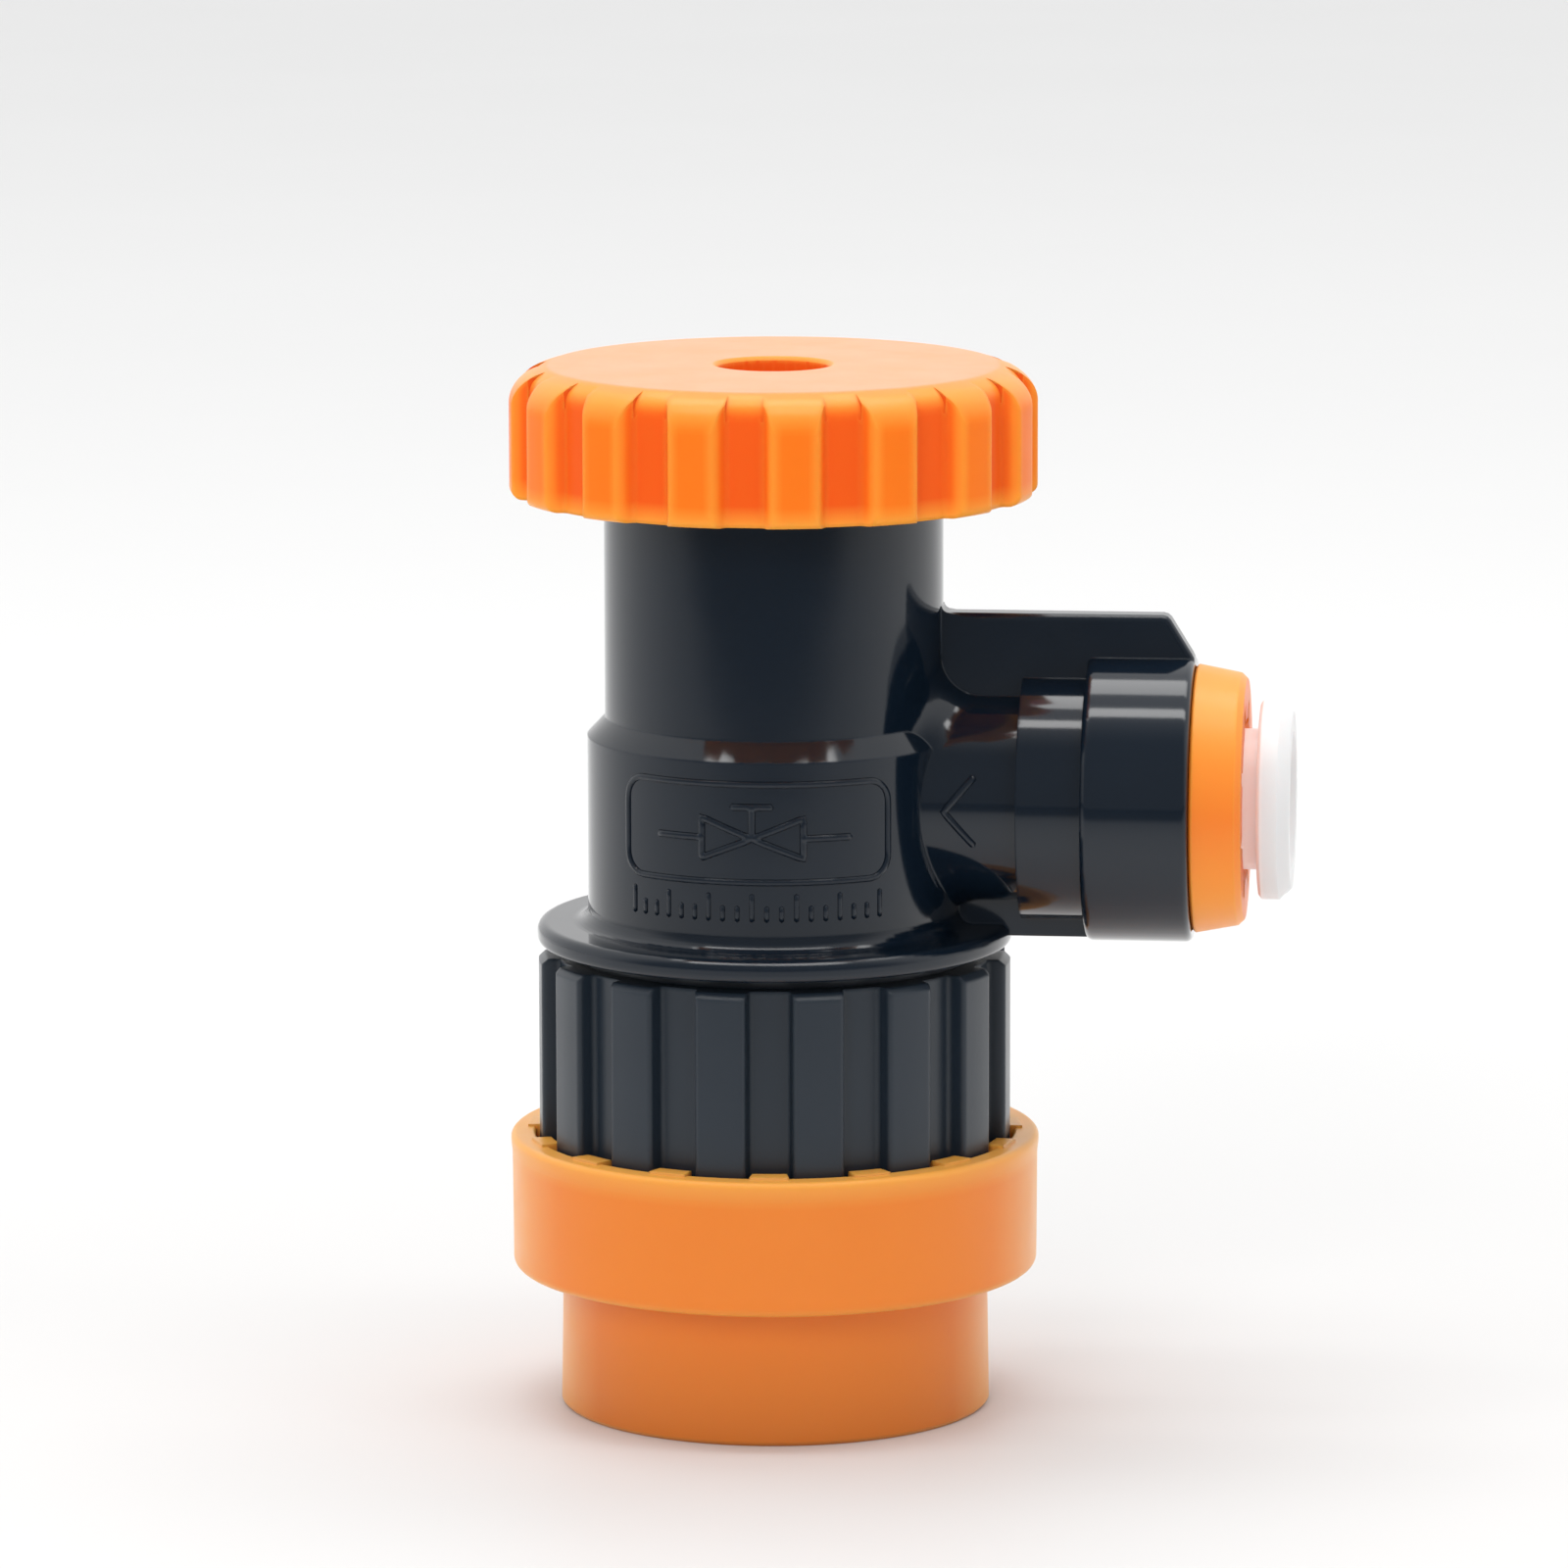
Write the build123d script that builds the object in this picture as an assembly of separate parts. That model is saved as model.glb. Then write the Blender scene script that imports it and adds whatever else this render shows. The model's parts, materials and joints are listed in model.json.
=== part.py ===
from build123d import *
import os
from math import cos, sin, radians, sqrt

# Hand-turned flow control valve for a drinks line.  A ball-lock quick coupling at the bottom
# snaps onto a keg post, a needle valve above it meters the flow, and a push-to-connect branch
# takes an 8 mm tube.  Frame: origin at the centre of the collar's bottom rest face, on the
# valve's axis; +Z up to the knob; +X out of the tube port.  Millimetres, degrees.
# _R is a radius, _LOW and _TOP are heights, _END is a distance out along the branch.

os.makedirs("parts", exist_ok=True)

# ---- driving dimensions
# release collar
COLLAR_SKIRT_R0, COLLAR_SKIRT_R1 = 14.39, 14.24   # bottom and top of the drafted skirt
COLLAR_SKIRT_TOP = 9.38
COLLAR_RING_R = 17.58
COLLAR_LIP_R = 17.70
COLLAR_TOP = 18.45
COLLAR_RING_IN_R = 16.05
COLLAR_FLOOR_TOP = 10.90
COLLAR_LIFT = 4.20
COLLAR_TOOTH_R = 14.87
# ribbed barrel
RIB_R, RIB_FLOOR_R = 15.77, 14.57
RIB_COUNT = 15
RIB_PITCH = 360 / RIB_COUNT
RIB_HALF = 13.0 / 2      # half the angle of a rib, midway down its side
RIB_PHASE = -1.5
RIB_LOW, RIB_TOP = 15.20, 30.60
BARREL_TOP = 31.30
NOSE_R, NOSE_LOW = 11.60, 0.50
SOCKET_R = 9.95          # bore that takes the keg post, mouth stretch
SOCKET_UPPER_R = 9.70    # above the mouth stretch
SEAL_BORE_R = 7.50       # bore that the post's own seal runs in
SPRING_POCKET_R, SPRING_POCKET_TOP = 13.40, 22.0
SEAT_LOW, SEAT_TOP = 20.5, 22.0
SEAT_HOLE_R = 3.60
VALVE_BORE_R = 7.05      # room round the poppet, in barrel and body
SNAP_GROOVE_LOW, SNAP_GROOVE_TOP = 8.75, 9.85
SNAP_CLEARANCE = 0.05
# locking balls, and the cam inside the collar that holds them in
BALL_R = 3.175 / 2
BALL_Z = 6.90
BALL_CENTRE_R = 10.79
BALL_OUT = 0.75
BALL_ANGLES = (90, 210, 330)
CAM_R = 12.43            # cam radius level with the ball centres
CAM_LOW, CAM_TOP = 2.5, BALL_Z + 0.168
CAM_LOW_R = CAM_R + BALL_OUT / COLLAR_LIFT * (BALL_Z - CAM_LOW)
# main body
FLANGE_R, FLANGE_LOW, FLANGE_TOP = 15.85, 31.36, 32.80
BODY_R, NECK_R = 12.45, 11.28
STEP_LOW, STEP_TOP = 45.37, 46.62
BODY_TOP = 66.30
SPIGOT_R, SPIGOT_LOW = 12.60, 24.20
BODY_GROOVE_LOW, BODY_GROOVE_TOP = 25.6, 27.2
# branch
BRANCH_Z = 41.38
TUBE_R, TUBE_END = 6.90, 16.70
BAND_R, BAND_END = 8.15, 21.00
BRANCH_SOCKET_R, BRANCH_SOCKET_END = 9.55, 28.10
SADDLE_FILLET = 2.80
TUBE_RING_R, TUBE_RING_WIRE_R = 4.98, 0.90
WEB_T = 2.10
WEB_LOW, WEB_TOP = 32.08, 53.75
# knob
KNOB_R, KNOB_FLUTE_R = 17.53, 16.43
KNOB_LOW, KNOB_TOP = 61.48, 70.12
KNOB_LOBES = 16
KNOB_PITCH = 360 / KNOB_LOBES
KNOB_PHASE = 10.5
LOBE_HALF = 12.8 / 2
LOBE_FOOT_HALF = LOBE_HALF + 0.55
KNOB_HOLE_R = 3.76
CROWN_WIDE, CROWN_DEEP = 3.2, 2.5                 # half axes of the elliptical top edge
FLUTE_DROP, FLUTE_END_R = 1.75, 15.30             # where the flutes run out in the crown
# metering stack
NEEDLE_LIFT = 1.20       # how far the needle is raised in the position drawn
NEEDLE_GROOVE_LOW, NEEDLE_GROOVE_TOP = 45.5, 47.3
CLIP_LOW, CLIP_TOP = 57.18, 58.04
CLIP_MID = (CLIP_LOW + CLIP_TOP) / 2
# hexagons, across flats
NEEDLE_HEX, NEEDLE_SOCKET_HEX = 6.94, 7.10
SPINDLE_HEX, KNOB_SOCKET_HEX = 7.4, 7.5


# ---- helpers
def turned(*outline):
    """Closed (radius, z) outline revolved about the valve's axis."""
    points = [(r, 0, z) for r, z in outline]
    return revolve(make_face(Polyline(*points, close=True)), Axis.Z, 360)


def turned_x(*outline):
    """Closed (radius, x) outline revolved about the branch's axis."""
    points = [(x, 0, r) for r, x in outline]
    return Pos(0, 0, BRANCH_Z) * revolve(make_face(Polyline(*points, close=True)), Axis.X, 360)


def polar(r, angle):
    return (r * cos(radians(angle)), r * sin(radians(angle)))


def prism(face, low, top):
    return extrude(Pos(0, 0, low) * face, top - low)


def hex_prism(across_flats, low, top):
    return prism(RegularPolygon(across_flats / sqrt(3), 6), low, top)


def arc_points(across, up, r, start, end, count=6):
    """Points of an arc centred on (across, up), ends included."""
    angles = [radians(start + (end - start) * i / count) for i in range(count + 1)]
    return [(across + r * cos(angle), up + r * sin(angle)) for angle in angles]


def wedge(r_in, half_in, r_out, half_out, centre):
    """Four-sided face about the angle centre, with a half angle at each radius."""
    return make_face(Polyline(polar(r_in, centre - half_in), polar(r_out, centre - half_out),
                              polar(r_out, centre + half_out), polar(r_in, centre + half_in),
                              close=True))


def fluted(count, phase, r_out, r_in, half_land, half_foot, corner):
    """Round outline with count lands: land edges, then slanted sides down to the root."""
    pitch = 360 / count
    with BuildLine() as outline:
        for k in range(count):
            centre = phase + k * pitch
            land_end = polar(r_out, centre + half_land)
            root_start = polar(r_in, centre + half_foot)
            root_end = polar(r_in, centre + pitch - half_foot)
            ThreePointArc(polar(r_out, centre - half_land), polar(r_out, centre), land_end)
            Line(land_end, root_start)
            ThreePointArc(root_start, polar(r_in, centre + pitch / 2), root_end)
            Line(root_end, polar(r_out, centre + pitch - half_land))
    face = make_face(outline.line)
    return fillet(face.vertices(), corner)


def coil_spring(radius, wire_r, low, top, turns):
    """Wire coil whose ends lie between low and top."""
    height = top - low - 2 * wire_r
    path = Helix(pitch=height / turns, height=height, radius=radius, center=(0, 0, low + wire_r))
    section = Plane(origin=path @ 0, z_dir=path % 0) * Circle(wire_r)
    return sweep(section, path=path, is_frenet=True)


def boxes_round_valve(count, phase, r, z, *size):
    """Boxes of size (radial, tangential, z) spaced evenly round the valve's axis."""
    return [Rot(0, 0, phase + 360 / count * k) * Pos(r, 0, z) * Box(*size)
            for k in range(count)]


def boxes_round_branch(count, phase, x, r, *size):
    """Boxes of size (x, tangential, radial) spaced evenly round the branch's axis."""
    return [Pos(x, 0, BRANCH_Z) * Rot(phase + 360 / count * k, 0, 0) * Pos(0, 0, r) * Box(*size)
            for k in range(count)]


def save(shape, name):
    solids = shape.solids()
    part = solids[0] if len(solids) == 1 else Compound(children=list(solids))
    part.label = name
    export_step(part, f"parts/{name}.step")


# ---- release collar
def release_collar():
    collar = turned(
        (CAM_LOW_R + 0.35, 0.0), (COLLAR_SKIRT_R0 - 0.25, 0.0), (COLLAR_SKIRT_R0, 0.25),
        (COLLAR_SKIRT_R1, COLLAR_SKIRT_TOP), (COLLAR_SKIRT_R1 + 0.25, COLLAR_SKIRT_TOP),
        *arc_points(COLLAR_RING_R - 0.62, COLLAR_SKIRT_TOP + 0.60, 0.60, -90, 0),
        (COLLAR_RING_R + 0.03, COLLAR_TOP - 1.30), (COLLAR_LIP_R - 0.02, COLLAR_TOP - 0.75),
        (COLLAR_LIP_R, COLLAR_TOP - 0.50),
        *arc_points(COLLAR_LIP_R - 0.40, COLLAR_TOP - 0.40, 0.40, 0, 90, 5),
        (COLLAR_RING_IN_R + 0.15, COLLAR_TOP), (COLLAR_RING_IN_R, COLLAR_TOP - 0.15),
        (COLLAR_RING_IN_R, COLLAR_FLOOR_TOP), (11.75, COLLAR_FLOOR_TOP), (11.75, 9.90),
        (12.40, 9.90), (12.40, CAM_TOP), (CAM_LOW_R, CAM_LOW), (CAM_LOW_R, 0.35))
    # teeth that run in the barrel's grooves, so the collar slides without turning
    tooth_half, tooth_top = 4.5, COLLAR_TOP + 0.15
    chamfer_cut = turned(
        (COLLAR_TOOTH_R - 1, tooth_top - 0.45), (COLLAR_TOOTH_R - 0.02, tooth_top - 0.45),
        (COLLAR_TOOTH_R + 0.45, tooth_top + 0.02), (COLLAR_TOOTH_R + 0.45, tooth_top + 1),
        (COLLAR_TOOTH_R - 1, tooth_top + 1))
    teeth = []
    for k in range(RIB_COUNT):
        face = wedge(COLLAR_TOOTH_R, tooth_half * 0.93, COLLAR_RING_IN_R + 0.55, tooth_half,
                     RIB_PHASE + RIB_PITCH / 2 + k * RIB_PITCH)
        face = fillet(face.vertices().sort_by_distance(Vector(0, 0, 0))[:2], 0.45)
        teeth.append(prism(face, COLLAR_FLOOR_TOP - 0.2, tooth_top) - chamfer_cut)
    return collar + teeth


save(release_collar(), "release_collar")


# ---- ribbed barrel and ball cage
def ball_place(angle):
    return Rot(0, 0, angle) * Pos(BALL_CENTRE_R, 0, BALL_Z)


def ribbed_barrel():
    ribs = prism(fluted(RIB_COUNT, RIB_PHASE, RIB_R, RIB_FLOOR_R,
                        half_land=RIB_HALF - 0.35, half_foot=RIB_HALF + 0.35, corner=0.28),
                 RIB_LOW, RIB_TOP)
    ribs = ribs & turned((0, RIB_LOW), (RIB_R - 0.35, RIB_LOW), (RIB_R + 0.02, RIB_LOW + 0.4),
                         (RIB_R + 0.02, RIB_TOP - 0.40), (RIB_R - 0.42, RIB_TOP), (0, RIB_TOP))
    nose = turned((0, NOSE_LOW), (NOSE_R - 0.5, NOSE_LOW), (NOSE_R, NOSE_LOW + 0.5),
                  (NOSE_R, BARREL_TOP), (0, BARREL_TOP))
    neck_ring = turned((0, RIB_TOP - 0.5), (13.5, RIB_TOP - 0.5), (13.5, BARREL_TOP),
                       (0, BARREL_TOP))
    barrel = ribs + nose + neck_ring
    # spring pocket
    barrel -= turned((NOSE_R, RIB_LOW - 0.5), (SPRING_POCKET_R, RIB_LOW - 0.5),
                     (SPRING_POCKET_R, SPRING_POCKET_TOP - 0.3),
                     (SPRING_POCKET_R - 0.3, SPRING_POCKET_TOP), (NOSE_R, SPRING_POCKET_TOP))
    # post socket, seal bore, valve seat and the bore for the body's spigot
    barrel -= turned(
        (0, 0), (SOCKET_R + 0.6, 0), (SOCKET_R + 0.6, NOSE_LOW), (SOCKET_R, NOSE_LOW + 0.6),
        (SOCKET_R, 5.2), (SOCKET_UPPER_R, 5.35), (SOCKET_UPPER_R, 12.5),
        (SEAL_BORE_R + 0.35, 12.5), (SEAL_BORE_R, 12.95), (SEAL_BORE_R, 19.0),
        (7.2, 19.2), (7.2, SEAT_LOW), (SEAT_HOLE_R + 0.25, SEAT_LOW),
        (SEAT_HOLE_R, SEAT_LOW + 0.25), (SEAT_HOLE_R, SEAT_TOP), (VALVE_BORE_R, SEAT_TOP),
        (VALVE_BORE_R, 24.15), (SPIGOT_R + 0.05, 24.15), (SPIGOT_R + 0.05, 32), (0, 32))
    # groove for the snap ring that stops the collar
    barrel -= turned((11.10, SNAP_GROOVE_LOW), (12, SNAP_GROOVE_LOW),
                     (12, SNAP_GROOVE_TOP), (11.10, SNAP_GROOVE_TOP))
    for angle in BALL_ANGLES:
        place = ball_place(angle)
        barrel -= place * Sphere(BALL_R + 0.02)
        barrel -= place * Rot(0, 90, 0) * Pos(0, 0, 1.5) * Cylinder(BALL_R + 0.05, 3.0)
    return barrel


save(ribbed_barrel(), "ribbed_barrel")

for i, angle in enumerate(BALL_ANGLES):
    save(ball_place(angle) * Sphere(BALL_R), f"locking_ball_{i + 1}")

snap_low, snap_top = SNAP_GROOVE_LOW + SNAP_CLEARANCE, SNAP_GROOVE_TOP - SNAP_CLEARANCE
snap_ring = turned((11.15, snap_low), (12.30, snap_low), (12.30, snap_top), (11.15, snap_top))
snap_ring -= Rot(0, 0, 30) * Pos(11.7, 0, (snap_low + snap_top) / 2) * Box(3, 5.0, 2)
save(snap_ring, "collar_snap_ring")

save(coil_spring(radius=12.55, wire_r=0.35, low=COLLAR_FLOOR_TOP + 0.02,
                 top=SPRING_POCKET_TOP - 0.02, turns=5), "collar_spring")

# ---- post valve: poppet, seal, spring, guide
save(turned((0, 19.30), (1.9, 19.30), (2.3, 19.7), (2.3, 22.3), (3.35, 22.3), (3.35, 22.92),
            (5.1, 22.92), (5.3, 23.12), (5.3, 24.3), (4.9, 24.7), (2.6, 24.7), (2.6, 25.6),
            (1.9, 25.9), (1.9, 32.2), (1.5, 32.6), (0, 32.6)), "poppet")
save(turned((3.40, 22.03), (4.9, 22.03), (5.1, 22.23), (5.1, 22.90), (3.40, 22.90)),
     "poppet_seal")
save(coil_spring(radius=3.45, wire_r=0.30, low=24.72, top=30.98, turns=4.5), "poppet_spring")

# an outer ring and a hub, joined by four spokes
spider = turned((6.0, 31.0), (7.0, 31.0), (7.0, 32.2), (6.0, 32.2))
spider += turned((2.05, 30.4), (2.7, 30.4), (2.7, 31.0), (4.4, 31.0), (4.4, 32.2), (2.05, 32.2))
spider = spider + boxes_round_valve(4, 45, 5.2, 31.6, 2.4, 1.6, 1.2)
save(spider, "spring_spider")

save(Pos(0, 0, (BODY_GROOVE_LOW + BODY_GROOVE_TOP) / 2) * Torus(11.98, 0.65), "body_o_ring")


# ---- main body
def flared_tube(tube, barrel_r):
    """The branch tube with a rolled fillet where it leaves a plain barrel of this radius."""
    joined = Pos(0, 0, BRANCH_Z) * Cylinder(barrel_r, 44) + tube

    def on_joint(point):
        from_valve = sqrt(point.X ** 2 + point.Y ** 2)
        from_branch = sqrt(point.Y ** 2 + (point.Z - BRANCH_Z) ** 2)
        return (abs(from_valve - barrel_r) <= 0.05 and abs(from_branch - TUBE_R) <= 0.05
                and point.X >= 4)

    joint = [edge for edge in joined.edges() if edge.length > 0.3
             and all(on_joint(edge.position_at(t)) for t in (0.05, 0.35, 0.65, 0.95))]
    return fillet(joint, SADDLE_FILLET) & Pos(12, 0, BRANCH_Z) * Box(18, 23, 21)


def web_side_edges(shape, wanted):
    """Edges in the web's two side faces whose sampled points are all wanted."""
    found = []
    for edge in shape.edges():
        points = [edge.position_at(t) for t in (0.05, 0.5, 0.95)]
        if all(abs(abs(p.Y) - WEB_T / 2) < 0.02 and wanted(p) for p in points):
            found.append(edge)
    return found


def on_rim(point):
    """On the top part of the web's outline, clear of the neck."""
    return point.Z > 51.2 and point.X > NECK_R + 0.55


def on_root(point):
    """Where the web leaves the neck, above the branch."""
    return abs(sqrt(point.X ** 2 + point.Y ** 2) - NECK_R) < 0.02 and point.Z > BRANCH_Z + 5


def try_fillet(shape, edges, sizes):
    """The largest of the sizes that the edges take, or the shape as it was."""
    for size in sizes:
        # guards against the kernel refusing a radius, or finding no edges
        try:
            rounded = fillet(edges, size)
            if (rounded.is_valid and len(rounded.solids()) == 1
                    and rounded.volume > 0.9 * shape.volume):
                return rounded
        except Exception:
            pass
    return shape


def branch_web():
    """Upright plate in the plane of both axes, between the body and the branch socket."""
    outline = [
        (6.0, WEB_LOW), (BAND_END + 0.6, WEB_LOW), (27.6, BRANCH_Z),
        (BRANCH_SOCKET_END - 0.05, 50.85), (BRANCH_SOCKET_END - 0.2, 51.15),
        (BRANCH_SOCKET_END - 1.62, 53.45), (BRANCH_SOCKET_END - 1.85, 53.67),
        (BRANCH_SOCKET_END - 2.15, WEB_TOP),
        *arc_points(NECK_R + 0.5, WEB_TOP + 0.5, 0.5, -90, -170, 4), (6.0, WEB_TOP + 0.45)]
    face = make_face(Polyline(*[(x, 0, z) for x, z in outline], close=True))
    web = extrude(face, WEB_T / 2, both=True)
    return try_fillet(web, web_side_edges(web, on_rim), (0.40, 0.3, 0.2))


def branch_socket():
    mouth, side = BRANCH_SOCKET_END, BRANCH_SOCKET_R
    rounds = (arc_points(BAND_END + 0.5, side - 0.5, 0.5, 180, 90, 4)
              + arc_points(mouth - 0.45, side - 0.45, 0.45, 90, 0, 4))
    return turned_x((0, BAND_END - 1), (BAND_R - 0.1, BAND_END - 1), (BAND_R - 0.1, BAND_END),
                    *[(r, x) for x, r in rounds], (0, mouth))


def main_body():
    outer = turned((0, FLANGE_LOW),
                   *arc_points(FLANGE_R - 0.45, FLANGE_LOW + 0.45, 0.45, -90, 0, 4),
                   *arc_points(FLANGE_R - 0.6, FLANGE_TOP - 0.6, 0.6, 0, 90, 5),
                   *arc_points(BODY_R + 1.0, FLANGE_TOP + 1.0, 1.0, -90, -180, 6),
                   (BODY_R, STEP_LOW), (NECK_R, STEP_TOP), (NECK_R, BODY_TOP), (0, BODY_TOP))
    tube = turned_x((0, 2), (TUBE_R, 2), (TUBE_R, TUBE_END), (BAND_R, TUBE_END),
                    (BAND_R, BAND_END + 0.1), (0, BAND_END + 0.1))
    # the flare off the wide body stops at the sloping step, carried on outwards to far_r
    far_r = 24
    slope = (STEP_TOP - STEP_LOW) / (BODY_R - NECK_R)
    lower_flare = flared_tube(tube, BODY_R) & turned(
        (0, 28), (far_r, 28), (far_r, STEP_LOW - (far_r - BODY_R) * slope),
        (BODY_R, STEP_LOW), (NECK_R, STEP_TOP), (0, STEP_TOP))
    outer = outer + lower_flare + flared_tube(tube, NECK_R)
    outer = outer + branch_web()
    outer = try_fillet(outer, web_side_edges(outer, on_root), (0.6, 0.4, 0.25))
    outer += branch_socket()
    # spigot with its O-ring groove
    spigot = turned(
        (0, SPIGOT_LOW), (SPIGOT_R - 0.5, SPIGOT_LOW), (SPIGOT_R, SPIGOT_LOW + 0.5),
        (SPIGOT_R, BODY_GROOVE_LOW), (11.30, BODY_GROOVE_LOW), (11.30, BODY_GROOVE_TOP),
        (SPIGOT_R, BODY_GROOVE_TOP), (SPIGOT_R, FLANGE_LOW + 0.2), (0, FLANGE_LOW + 0.2))
    body = outer + spigot
    # bore stack, bottom to top
    body -= turned((0, 24), (VALVE_BORE_R, 24), (VALVE_BORE_R, 32.25), (5.62, 32.25),
                   (5.62, 38.02), (5.0, 38.02), (5.0, 44.6), (4.5, 44.9), (4.5, 50.4), (0, 50.4))
    body -= hex_prism(NEEDLE_SOCKET_HEX, 50.3, 52.7)
    body -= turned((0, 52.6), (5.2, 52.6), (5.2, 55.3), (8.70, 55.3), (8.70, 57.10),
                   (9.30, 57.10), (9.30, 58.12), (8.70, 58.12), (8.70, 65.9), (9.1, 67), (0, 67))
    # branch bores
    body -= turned_x((0, 3.0), (2.6, 3.0), (2.6, 11.0), (4.10, 11.0), (4.10, 14.0),
                     (5.90, 14.0), (5.90, 21.0), (7.42, 21.0), (7.42, 27.7), (7.8, 28.1),
                     (7.8, 29), (0, 29))
    return body


save(main_body(), "main_body")

# ---- flow metering
save(turned((2.40, 36.6), (2.9, 36.0), (5.30, 36.0), (5.60, 36.3), (5.60, 38.0), (2.75, 38.0),
            (2.40, 37.65)), "flow_seat")


def lifted(*outline):
    """Turned outline given with the needle down, raised to where it stands."""
    return turned(*[(r, z + NEEDLE_LIFT) for r, z in outline])


needle = lifted((0, 35.8), (0.5, 35.8), (2.68, 38.02), (3.2, 38.9), (3.2, 43.4), (4.42, 44.3),
                (4.42, NEEDLE_GROOVE_LOW), (3.30, NEEDLE_GROOVE_LOW), (3.30, NEEDLE_GROOVE_TOP),
                (4.42, NEEDLE_GROOVE_TOP), (4.42, 47.7), (0, 47.7))
needle += (hex_prism(NEEDLE_HEX, 47.6 + NEEDLE_LIFT, 52.7 + NEEDLE_LIFT)
           & turned((0, 47), (5, 47), (5, 53.4), (3.6, 53.95), (0, 53.95)))
needle += lifted((0, 52.6), (2.15, 52.6), (2.15, 59.7), (1.85, 60.0), (0, 60.0))
save(needle, "flow_needle")
save(Pos(0, 0, (NEEDLE_GROOVE_LOW + NEEDLE_GROOVE_TOP) / 2 + NEEDLE_LIFT) * Torus(3.89, 0.58),
     "needle_o_ring")

spindle = turned((2.25, 55.36), (8.60, 55.36), (8.60, 56.7), (8.3, 57.0), (4.9, 57.0),
                 (4.4, 57.5), (4.4, 60.9), (0, 60.9), (0, 56), (2.25, 56))
spindle += (hex_prism(SPINDLE_HEX, 60.8, 65.8)
            & turned((0, 60), (5, 60), (5, 65.2), (4.1, 65.8), (0, 65.8)))
# bore for the needle's stem, then the screw hole
spindle -= turned((0, 55), (2.55, 55), (2.25, 55.7), (2.25, 62.5), (0, 62.5))
spindle -= turned((0, 62.9), (1.22, 62.9), (1.22, 66), (0, 66))
save(spindle, "knob_spindle")

# circlip, open towards -X, with a holed ear each side of the gap
clip = turned((7.0, CLIP_LOW), (9.25, CLIP_LOW), (9.25, CLIP_TOP), (7.0, CLIP_TOP))
clip -= Pos(-8.5, 0, 57.6) * Box(5, 5.4, 3)
ear_limit = turned((4.5, 57), (9.25, 57), (9.25, 58.1), (4.5, 58.1))
for side in (-1, 1):
    turn = Rot(0, 0, 180 + side * 24)
    ear = turn * Pos(7.25, 0, CLIP_MID) * Cylinder(1.35, CLIP_TOP - CLIP_LOW)
    hole = turn * Pos(7.15, 0, CLIP_MID) * Cylinder(0.5, 2)
    clip = clip + (ear & ear_limit) - hole
save(clip, "knob_circlip")


# ---- knob and its screw
def knob_envelope():
    """Solid of revolution with a rounded bottom edge and an elliptical top edge."""
    crown_r, crown_z = KNOB_R - CROWN_WIDE, KNOB_TOP - CROWN_DEEP
    crown = [(crown_r + CROWN_WIDE * cos(radians(15 * i)),
              crown_z + CROWN_DEEP * sin(radians(15 * i))) for i in range(7)]
    with BuildLine() as profile:
        Line((0, KNOB_LOW), (KNOB_R - 0.65, KNOB_LOW))
        RadiusArc((KNOB_R - 0.65, KNOB_LOW), (KNOB_R, KNOB_LOW + 0.65), -0.65)
        Line((KNOB_R, KNOB_LOW + 0.65), (KNOB_R, crown_z))
        Spline(*crown, tangents=[(0, 1), (-1, 0)])
        Line((crown_r, KNOB_TOP), (0, KNOB_TOP))
        Line((0, KNOB_TOP), (0, KNOB_LOW))
    return revolve(Plane.XZ * make_face(profile.line), Axis.Z, 360)


def flute_runs():
    """Cutters that roll the flute floors over to meet the crown at a slight angle."""
    across = (FLUTE_END_R - (KNOB_R - CROWN_WIDE)) / CROWN_WIDE
    floor_end = (FLUTE_END_R, KNOB_TOP - CROWN_DEEP + CROWN_DEEP * sqrt(1 - across ** 2))
    floor_start = (KNOB_FLUTE_R, KNOB_TOP - FLUTE_DROP)
    far_r, above = 18.6, KNOB_TOP + 0.5
    with BuildLine() as profile:
        Line(floor_start, (far_r, KNOB_TOP - FLUTE_DROP))
        Line((far_r, KNOB_TOP - FLUTE_DROP), (far_r, above))
        Line((far_r, above), (FLUTE_END_R, above))
        Line((FLUTE_END_R, above), floor_end)
        Spline(floor_end, (16.22, KNOB_TOP - 0.86), floor_start,
               tangents=[(0.86, -0.51), (0, -1)])
    above_flutes = revolve(Plane.XZ * make_face(profile.line), Axis.Z, 360)
    half = KNOB_PITCH / 2 - LOBE_FOOT_HALF
    runs = []
    for k in range(KNOB_LOBES):
        face = wedge(11.0, half, 18.5, half, KNOB_PHASE + (k + 0.5) * KNOB_PITCH)
        runs.append(prism(face, KNOB_TOP - 3.4, KNOB_TOP + 1) & above_flutes)
    return runs


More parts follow.
